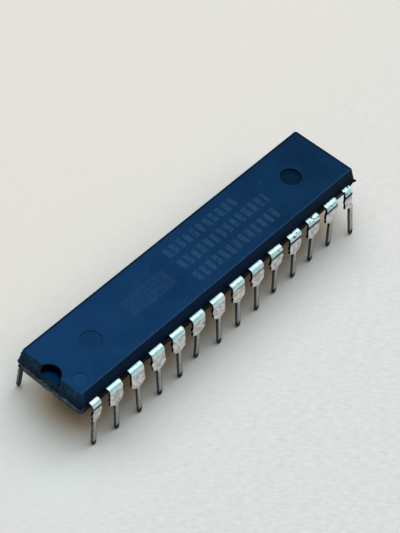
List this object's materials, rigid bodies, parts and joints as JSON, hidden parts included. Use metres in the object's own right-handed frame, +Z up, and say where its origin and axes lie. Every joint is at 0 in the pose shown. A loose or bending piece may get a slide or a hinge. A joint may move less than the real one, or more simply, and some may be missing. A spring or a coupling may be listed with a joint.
{
  "type": "dual in-line integrated circuit",
  "caption": "Integrated circuit in a narrow dual in-line package: a dark moulded body with an end notch and a row of bent tin-plated leads along each side.",
  "frame": {"origin": "midway between the two rows and the two ends, on the plane of the lead tips", "axes": "+X along the body away from the notched end, +Z up out of the top face, and the row with lead 1 on the -Y side"},
  "size_m": [0.0354, 0.0097, 0.0068],
  "materials": {
    "moulded_epoxy": "satin moulded epoxy, blue-black",
    "tinned_lead": "matt tin plating, bright where bent",
    "bare_frame": "bare copper alloy",
    "silver_adhesive": "cured silver-filled adhesive",
    "silicon": "polished silicon",
    "gold_wire": "drawn gold"
  },
  "bodies": {
    "root": {"package_body": "moulded_epoxy", "die_pad": "bare_frame", "die_attach": "silver_adhesive", "silicon_die": "silicon", "lead_01": "tinned_lead", "lead_02": "tinned_lead", "lead_03": "tinned_lead", "lead_04": "tinned_lead", "lead_05": "tinned_lead", "lead_06": "tinned_lead", "lead_07": "tinned_lead", "lead_08": "tinned_lead", "lead_09": "tinned_lead", "lead_10": "tinned_lead", "lead_11": "tinned_lead", "lead_12": "tinned_lead", "lead_13": "tinned_lead", "lead_14": "tinned_lead", "lead_15": "tinned_lead", "lead_16": "tinned_lead", "lead_17": "tinned_lead", "lead_18": "tinned_lead", "lead_19": "tinned_lead", "lead_20": "tinned_lead", "lead_21": "tinned_lead", "lead_22": "tinned_lead", "lead_23": "tinned_lead", "lead_24": "tinned_lead", "lead_25": "tinned_lead", "lead_26": "tinned_lead", "lead_27": "tinned_lead", "lead_28": "tinned_lead", "bond_wire_01": "gold_wire", "bond_wire_02": "gold_wire", "bond_wire_03": "gold_wire", "bond_wire_04": "gold_wire", "bond_wire_05": "gold_wire", "bond_wire_06": "gold_wire", "bond_wire_07": "gold_wire", "bond_wire_08": "gold_wire", "bond_wire_09": "gold_wire", "bond_wire_10": "gold_wire", "bond_wire_11": "gold_wire", "bond_wire_12": "gold_wire", "bond_wire_13": "gold_wire", "bond_wire_14": "gold_wire", "bond_wire_15": "gold_wire", "bond_wire_16": "gold_wire", "bond_wire_17": "gold_wire", "bond_wire_18": "gold_wire", "bond_wire_19": "gold_wire", "bond_wire_20": "gold_wire", "bond_wire_21": "gold_wire", "bond_wire_22": "gold_wire", "bond_wire_23": "gold_wire", "bond_wire_24": "gold_wire", "bond_wire_25": "gold_wire", "bond_wire_26": "gold_wire", "bond_wire_27": "gold_wire", "bond_wire_28": "gold_wire"}
  },
  "joints": []
}
